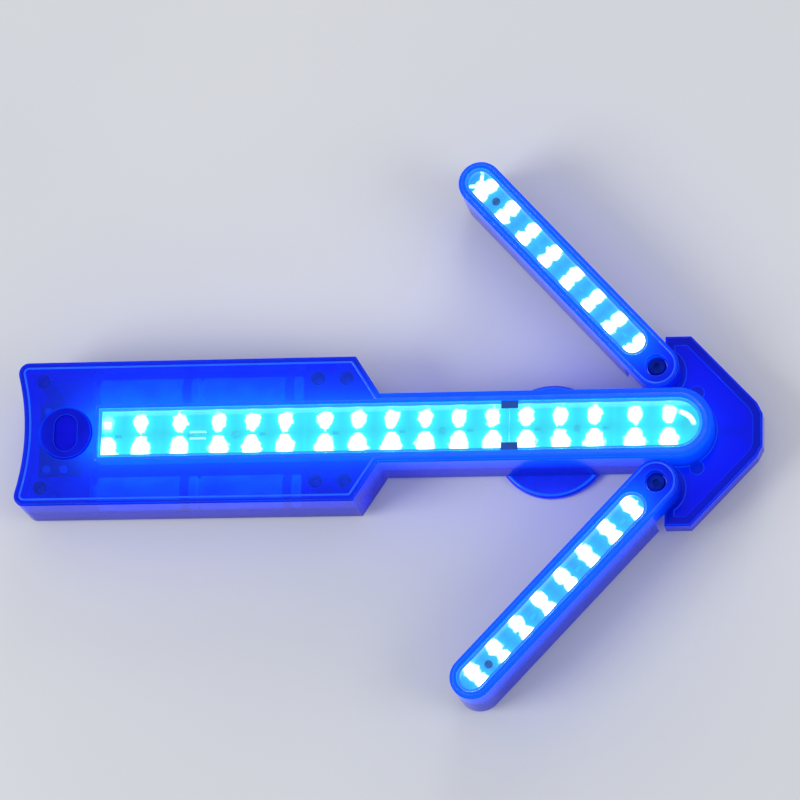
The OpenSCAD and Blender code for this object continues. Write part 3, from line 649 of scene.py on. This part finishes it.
def stripPaint(name, side, tray=False):
    # a painted cyan glow over base colours that carry a painted cyan cast, whiter in a painted halo at each
    # lamp, with painted glints; a strip has combs of copper pads beside its lamps and two tracks
    paint = newPaint(name)
    look = {**stripLook, **stripLook[partOf(side)]}
    halo, drop = lampGlow(paint, side)
    along, across, which, y = lampField(paint, side)
    grain = paint.noise(look["grain"])
    cloud = paint.noise(look["cloud"], 3.0)
    shade = tuple(c * look["maskShade"] for c in look["paintedCyanCast"])
    color = paint.mix(paint.smooth(cloud, 0.3, 0.7) * 0.4, look["paintedCyanCast"], shade)
    height = grain * 0.3
    if not tray:
        pads = paint.smooth(abs(along), *look["padFrom"]) * paint.within(abs(along), *look["padTo"])
        comb = paint.maths("PINGPONG", across + look["comb"], look["comb"])
        pads = pads * paint.smooth(comb, *look["combGap"]) * paint.within(abs(across), *look["padHalf"])
        tracks = paint.within(abs(abs(y) - look["trackAt"]), *look["trackHalf"])
        color = paint.mix(tracks * 0.6, color, look["line"])
        color = paint.mix(pads * 0.8, color, look["copper"])
        height = height + pads * 1.5 - tracks * 0.6
    # painted cyan glow, a painted ring and white halo round each lamp, and painted glints
    lit = paint.scaled(look["glow"], (0.85 + paint.smooth(cloud, 0.25, 0.8) * 0.25) / look["strength"])
    ring = paint.maths("EXPONENT", -(drop * look["ringFade"]))
    lit = paint.added(lit, paint.scaled(look["ring"], ring * 0.45))
    lit = paint.added(lit, paint.scaled(lampLook["white"], halo * 0.95))
    lit = paint.added(lit, paint.scaled(glintLook["color"], trayGlints(paint, side)))
    return paint.surface(
        Base_Color=color,
        Roughness=paint.smooth(grain, 0.2, 0.8) * 0.2 + look["trayRoughness" if tray else "roughness"],
        Emission_Color=lit,
        Emission_Strength=look["strength"],
        Normal=paint.bump(height, look["bump"]),
    )


def lampPaint(name, side):
    # white over each lamp's dome, dimmer between, with the nearly dead one darker
    paint = newPaint(name)
    along, across, which, y = lampField(paint, side)
    cloud = paint.noise(lampLook["cloud"])
    core = paint.within(paint.far(along, across), *lampLook["core"])
    lit = paint.mix(core, lampLook["between"], lampLook["white"])
    if side == 0:
        lit = paint.scaled(lit, 1 - dimLamp(which, y > 0.0))
    return paint.surface(
        Base_Color=paint.mix(cloud * 0.5, lampLook["body"], lampLook["bodyShade"]),
        Roughness=cloud * 0.2 + lampLook["roughness"],
        Emission_Color=lit,
        Emission_Strength=lampLook["strength"],
        Normal=paint.bump(cloud, lampLook["bump"]),
    )


dress(lensPaint("frostedMain", 0), "main_lens_left", "main_lens_right")
dress(lensPaint("frostedUpper", 1), "upper_arm_lens")
dress(lensPaint("frostedLower", -1), "lower_arm_lens")
for side, word, prefix in ((0, "Main", "main"), (1, "Upper", "upper_arm"), (-1, "Lower", "lower_arm")):
    dress(stripPaint("strip" + word, side), prefix + "_board")
    dress(stripPaint("tray" + word, side, True), prefix + "_reflector")
    dress(lampPaint("lamps" + word, side), prefix + "_leds")
print("lenses, lamps and strips ready")


# metal parts

metalLooks = {
    "zincScrews": {
        "color": (0.66, 0.68, 0.72), "dark": (0.42, 0.44, 0.48), "roughness": 0.32, "edge": 0.25 * mm},
    "armScrews": {
        "color": (0.005, 0.07, 0.20), "dark": (0.002, 0.03, 0.12), "roughness": 0.4, "edge": 0.2 * mm},
    # painted blue light: the pivots are black oxide steel, coloured blue as they look in the blue glow
    "blueLitPivots": {
        "color": (0.006, 0.030, 0.42), "dark": (0.003, 0.014, 0.24), "roughness": 0.42, "edge": 0.25 * mm},
    "plainWashers": {
        "color": (0.70, 0.71, 0.74), "dark": (0.5, 0.51, 0.54), "roughness": 0.28, "edge": 0.2 * mm},
    "springContacts": {
        "color": (0.74, 0.75, 0.78), "dark": (0.55, 0.56, 0.6), "roughness": 0.2, "edge": 0.1 * mm},
}
metalWear = {
    "stain": 160.0,
    "turned": 900.0,
    "turnedStretch": (1.0, 0.12, 1.0),
    "worn": 0.6,
    "wornBrighter": 1.35,
    "bump": 0.02 * mm,
}


def brighter(color, amount):
    return tuple(min(1.0, c * amount) for c in color)


def metalPaint(name):
    # stained metal with turning marks and brighter worn edges
    look = metalLooks[name]
    paint = newPaint(name)
    soft = paint.rounded(look["edge"])
    worn = paint.edges(soft)
    stain = paint.noise(metalWear["stain"], 4.0)
    turned = paint.noise(metalWear["turned"], 3.0, metalWear["turnedStretch"])
    color = paint.mix(paint.smooth(stain, 0.35, 0.75), look["color"], look["dark"])
    bright = brighter(look["color"], metalWear["wornBrighter"])
    return paint.surface(
        Base_Color=paint.mix(worn * metalWear["worn"], color, bright),
        Metallic=1.0,
        Roughness=paint.smooth(turned, 0.25, 0.75) * 0.18 + look["roughness"],
        Normal=paint.bump(turned, metalWear["bump"], soft),
    )


dress(metalPaint("zincScrews"), "battery_door_screw", "cover_screws", "head_screws", "magnet_screw")
dress(metalPaint("armScrews"), "upper_arm_screws", "lower_arm_screws")
dress(metalPaint("blueLitPivots"), "upper_pivot_screw", "lower_pivot_screw")
dress(metalPaint("plainWashers"), "upper_pivot_washer", "lower_pivot_washer", "switch_stalk")
dress(metalPaint("springContacts"), "contact_springs", "contact_plates")


# rubber, lacquer, boards and other dull parts, some of them with a painted glow and tint standing in for
# the strips' light

dullLooks = {
    "moulded": {
        "color": (0.012, 0.012, 0.016), "light": (0.035, 0.035, 0.04), "roughness": 0.42, "grain": 1600.0},
    # painted light: the cyan colours and glows of the resistors, board screws and jumper stand in for the
    # strips' light
    "litResistors": {
        "color": (0.002, 0.16, 0.22), "light": (0.004, 0.24, 0.30), "roughness": 0.4, "grain": 1500.0,
        "glow": (0.0, 0.30, 0.40)},
    "litJumper": {
        "color": (0.25, 0.55, 0.60), "light": (0.35, 0.7, 0.75), "roughness": 0.35, "grain": 1200.0,
        "glow": (0.35, 0.75, 0.75)},
    # painted glow on the blue lacquered cup
    "blueLacquer": {
        "color": (0.001, 0.012, 0.62), "light": (0.003, 0.03, 0.85), "roughness": 0.22, "grain": 900.0,
        "glow": (0.0, 0.006, 0.22)},
    "greenBoard": {
        "color": (0.008, 0.10, 0.045), "light": (0.03, 0.22, 0.09), "roughness": 0.35, "grain": 700.0},
    "darkClips": {
        "color": (0.001, 0.05, 0.34), "light": (0.003, 0.09, 0.5), "roughness": 0.3, "grain": 1500.0},
    # painted glow on the button
    "softKey": {
        "color": (0.0005, 0.002, 0.34), "light": (0.001, 0.004, 0.46), "roughness": 0.62, "grain": 1900.0,
        "glow": (0.0, 0.0, 0.30), "shine": 0.10},
    "ferrite": {
        "color": (0.045, 0.045, 0.05), "light": (0.10, 0.10, 0.11), "roughness": 0.55, "grain": 1100.0},
    "blackFeet": {
        "color": (0.010, 0.010, 0.012), "light": (0.03, 0.03, 0.033), "roughness": 0.68, "grain": 1300.0},
    "redLeads": {
        "color": (0.36, 0.010, 0.012), "light": (0.55, 0.03, 0.03), "roughness": 0.4, "grain": 1000.0},
}
dullWear = {
    "edgeRadius": 0.2 * mm,
    "edge": 0.35,
    "edgeBrighter": 1.6,
    "cloud": 120.0,
    "bump": 0.03 * mm,
    "shine": 0.5,
}


def dullPaint(name):
    # two tones in clouds, a fine grain, edges a little lighter, and a painted glow where the look has one
    look = dullLooks[name]
    paint = newPaint(name)
    soft = paint.rounded(dullWear["edgeRadius"])
    edge = paint.edges(soft)
    cloud = paint.noise(dullWear["cloud"], 4.0)
    grain = paint.noise(look["grain"], 3.0)
    color = paint.mix(paint.smooth(cloud, 0.3, 0.75) * 0.7 + grain * 0.2, look["color"], look["light"])
    bright = brighter(look["light"], dullWear["edgeBrighter"])
    glow = {}
    if "glow" in look:
        # painted glow: emission on a part that is no lamp
        glow["Emission_Color"] = paint.scaled(look["glow"], cloud * 0.5 + 0.75)
        glow["Emission_Strength"] = 1.0
    return paint.surface(
        Base_Color=paint.mix(edge * dullWear["edge"], color, bright),
        Roughness=grain * 0.2 + look["roughness"],
        Specular_IOR_Level=look.get("shine", dullWear["shine"]),
        Normal=paint.bump(grain, dullWear["bump"], soft),
        **glow,
    )


dress(dullPaint("moulded"), "controller_chip", "tact_switch", "driver_coil")
dress(dullPaint("litResistors"), "board_screws", "main_resistors", "upper_arm_resistors",
      "lower_arm_resistors")
dress(dullPaint("litJumper"), "strip_jumper")
dress(dullPaint("blueLacquer"), "magnet_cup")
dress(dullPaint("greenBoard"), "control_board")
dress(dullPaint("darkClips"), "lens_clips")
dress(dullPaint("softKey"), "power_button")
dress(dullPaint("ferrite"), "magnet_ring")
dress(dullPaint("blackFeet"), "rubber_feet")
dress(dullPaint("redLeads"), "supply_leads")


# battery cells

cellLook = {
    "sleeve": (0.004, 0.06, 0.85),
    "band": (0.0, 0.012, 0.40),
    "bare": (0.10, 0.20, 0.75),
    "lit": (0.0, 0.80, 1.0),
    "litAmount": 2.6,
    "reach": 32.0 * mm,
    "bandAt": (0.82, 0.90),
    "bandEdge": 0.01,
    "bareLength": (2.2 * mm, 2.4 * mm),
    "edgeRadius": 0.3 * mm,
    "roughness": 0.24,
    "cloud": 140.0,
    "grain": 900.0,
    "bump": 0.03 * mm,
}


def cellPaint(name, node):
    # a plain sleeve with one darker ring near its button end and bare ends, with a painted glow, brighter
    # towards the strip, for the strip's light
    low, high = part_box(node)
    paint = newPaint(name)
    x, y, z = paint.split(paint.place())
    soft = paint.rounded(cellLook["edgeRadius"])
    cloud = paint.noise(cellLook["cloud"], 3.0)
    grain = paint.noise(cellLook["grain"])
    run = (x - low[0]) / (high[0] - low[0])
    start, end = cellLook["bandAt"]
    blur = cellLook["bandEdge"]
    band = paint.smooth(run, start - blur, start) * paint.within(run, end, end + blur)
    bare = paint.within(paint.maths("MINIMUM", x - low[0], high[0] - x), *cellLook["bareLength"])
    color = paint.mix(band, cellLook["sleeve"], cellLook["band"])
    # painted glow of the strip's light on the cell, fading away from the strip
    near = paint.maths("EXPONENT", -(abs(y) / cellLook["reach"])) * cellLook["litAmount"]
    patchy = paint.smooth(cloud, 0.3, 0.75) * 0.4 + 0.8
    return paint.surface(
        Base_Color=paint.mix(bare, color, cellLook["bare"]),
        Roughness=paint.smooth(cloud, 0.3, 0.7) * 0.12 + cellLook["roughness"],
        Metallic=bare * 0.8,
        Emission_Color=paint.scaled(cellLook["lit"], near * (1 - band * 0.8) * patchy),
        Emission_Strength=1.0,
        Normal=paint.bump(grain + band * 1.5, cellLook["bump"], soft),
    )


for word, node in (("A", "cell_upper_left"), ("B", "cell_upper_right"),
                   ("C", "cell_lower_left"), ("D", "cell_lower_right")):
    dress(cellPaint("litCell" + word, node), node)
print("metal, rubber and small parts ready")


# raised beads of the mouldings

beadLook = {
    "steps": 10,
    "along": 720,
    "body": {"inset": 3.0 * mm, "wide": 0.50 * mm, "tall": 0.34 * mm},
    "window": {"inset": -1.3 * mm, "wide": 0.42 * mm, "tall": 0.26 * mm},
    "arm": {"inset": 1.7 * mm, "wide": 0.40 * mm, "tall": 0.28 * mm},
    "foot": {"inset": 1.5 * mm, "wide": 0.7 * mm, "tall": 0.45 * mm},
    "footRound": (77.4 * mm, 28.0 * mm, 4.0 * mm),
    "front": 37.0 * mm,
    "armFront": 36.5 * mm,
    "color": (0.006, 0.11, 0.95),
    "glow": (0.0, 0.085, 0.50),
    "clearness": 0.3,
    "roughness": 0.08,
    "index": 1.46,
    "cloud": 150.0,
    "grain": 2400.0,
    "bump": 0.01 * mm,
    "cornerPoints": 12,
    "dishPoints": 40,
    "roundPoints": 60,
    "capsulePoints": 40,
    "footPoints": 181,
}
quarter = math.pi / 2


def arc(x, y, radius, start, end, count):
    # points on a circle: centre + radius * (cos, sin) of a turn that runs from start to end
    turn = np.linspace(start, end, count)
    return np.stack([x + radius * np.cos(turn), y + radius * np.sin(turn)], -1)


def evenly(path, count):
    # the same closed path with its points the same distance apart
    ring = np.vstack([path, path[:1]])
    far = np.concatenate([[0.0], np.cumsum(np.linalg.norm(np.diff(ring, axis=0), axis=1))])
    at = np.linspace(0.0, far[-1], count, endpoint=False)
    return np.stack([np.interp(at, far, ring[:, i]) for i in (0, 1)], -1)


def bodyOutline(inset):
    # grip with a dished left end, sloped shoulders, stem and round end, each side moved in by the inset
    shape, look = bodyShape, beadLook
    half, neck = shape["half"] - inset, shape["neckHalf"] - inset
    left, corner = shape["left"] + inset, max(shape["corner"] - inset, shape["leastCorner"])
    rise, run = shape["half"] - shape["neckHalf"], shape["neck"] - shape["shoulder"]
    slope = math.hypot(run, rise)
    shift = inset * (1 - run / slope) / (rise / slope)
    flat = shape["half"] - shape["corner"] - shape["dishMargin"]
    bow = (flat * flat + shape["dish"] ** 2) / (2 * shape["dish"])
    bowAt = shape["left"] + shape["dish"] - bow
    reach = math.acos((left - bowAt) / (bow + inset))
    return np.vstack([
        arc(left + corner, -half + corner, corner, -2 * quarter, -quarter, look["cornerPoints"]),
        [(shape["shoulder"] - shift, -half), (shape["neck"] - shift, -neck)],
        arc(shape["roundAt"], 0.0, neck, -quarter, quarter, look["roundPoints"]),
        [(shape["neck"] - shift, neck), (shape["shoulder"] - shift, half)],
        arc(left + corner, half - corner, corner, quarter, 2 * quarter, look["cornerPoints"]),
        arc(bowAt, 0.0, bow + inset, reach, -reach, look["dishPoints"]),
    ])


def windowOutline(inset):
    # flat left end, straight sides and a half circle at the right end
    start, end, half = arrowLayout["main"]["window"]
    return np.vstack([
        [(start + inset, half - inset), (start + inset, -half + inset)],
        arc(end, 0.0, half - inset, -quarter, quarter, beadLook["roundPoints"]),
    ])


def armOutline(side, radius):
    # a capsule along the arm, turned about the pivot
    count = beadLook["capsulePoints"]
    flat = np.vstack([
        arc(arrowLayout["armReach"], 0.0, radius, -quarter, quarter, count),
        arc(0.0, 0.0, radius, quarter, 3 * quarter, count),
    ])
    turn = side * arrowLayout["armTurn"]
    spin = np.array([[math.cos(turn), math.sin(turn)], [-math.sin(turn), math.cos(turn)]])
    px, py = arrowLayout["pivot"]
    return flat @ spin + np.array([px, side * py])


def gridPiece(name, points, material, body):
    # a grid of points closed both ways becomes a skin of four-sided faces that point outwards
    rows, cols = points.shape[:2]
    row, col = np.meshgrid(np.arange(rows), np.arange(cols), indexing="ij")
    rowNext, colNext = (row + 1) % rows, (col + 1) % cols
    corners = [row * cols + col, rowNext * cols + col, rowNext * cols + colNext, row * cols + colNext]
    faces = np.stack(corners, -1).reshape(-1, 4)
    flat = points.reshape(-1, 3)
    a, b, c = flat[faces[:, 0]], flat[faces[:, 1]], flat[faces[:, 2]]
    if np.einsum("ij,ij->i", a - flat.mean(0), np.cross(b - a, c - a)).sum() < 0:
        faces = faces[:, ::-1]
    mesh = bpy.data.meshes.new(name)
    mesh.from_pydata(flat.tolist(), [], faces.tolist())
    mesh.polygons.foreach_set("use_smooth", np.ones(len(faces), dtype=bool))
    mesh.materials.append(material)
    piece = bpy.data.objects.new(name, mesh)
    bpy.context.scene.collection.objects.link(piece)
    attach(piece, body)


def bead(name, path, height, look, material, body):
    # an ellipse carried round a closed path: path + side * wide * cos t, height + tall * sin t
    path = evenly(path, beadLook["along"])
    ahead = np.roll(path, -1, axis=0) - np.roll(path, 1, axis=0)
    side = np.stack([ahead[:, 1], -ahead[:, 0]], -1) / np.linalg.norm(ahead, axis=1)[:, None]
    turn = np.linspace(0.0, 2 * math.pi, beadLook["steps"], endpoint=False)
    flat = path[:, None] + side[:, None] * (look["wide"] * np.cos(turn))[None, :, None]
    rise = np.broadcast_to((height + look["tall"] * np.sin(turn))[None, :, None], flat.shape[:2] + (1,))
    gridPiece(name, np.concatenate([flat, rise], -1), material, body)


def beadPaint():
    # the moulding's blue, smoother, with a painted glow standing in for light from inside
    paint = newPaint("clearBlueBead")
    look = beadLook
    cloud = paint.noise(look["cloud"], 3.0)
    grain = paint.noise(look["grain"])
    return paint.surface(
        Base_Color=paint.mix(paint.smooth(cloud, 0.3, 0.7), look["color"], plasticLook["color"]),
        Roughness=grain * 0.08 + look["roughness"],
        Transmission_Weight=look["clearness"],
        IOR=look["index"],
        Emission_Color=paint.scaled(look["glow"], paint.smooth(cloud, 0.25, 0.75) * 0.5 + 0.6),
        Emission_Strength=1.0,
        Normal=paint.bump(grain, look["bump"]),
    )


beadMaterial = beadPaint()
footX, footRadius, footTop = beadLook["footRound"]
footOutline = arc(footX, 0.0, footRadius - beadLook["foot"]["inset"], 0.0, 4 * quarter,
                  beadLook["footPoints"])[:-1]
for word, path, height in (("body", bodyOutline(beadLook["body"]["inset"]), beadLook["front"]),
                           ("window", windowOutline(beadLook["window"]["inset"]), beadLook["front"]),
                           ("foot", footOutline, footTop)):
    bead(word + "Bead", path, height, beadLook[word], beadMaterial, "main_unit")
for side, word in ((1, "upper"), (-1, "lower")):
    path = armOutline(side, arrowLayout["armHalf"] - beadLook["arm"]["inset"])
    bead(word + "ArmBead", path, beadLook["armFront"], beadLook["arm"], beadMaterial, word + "_arm")
print("beads ready")
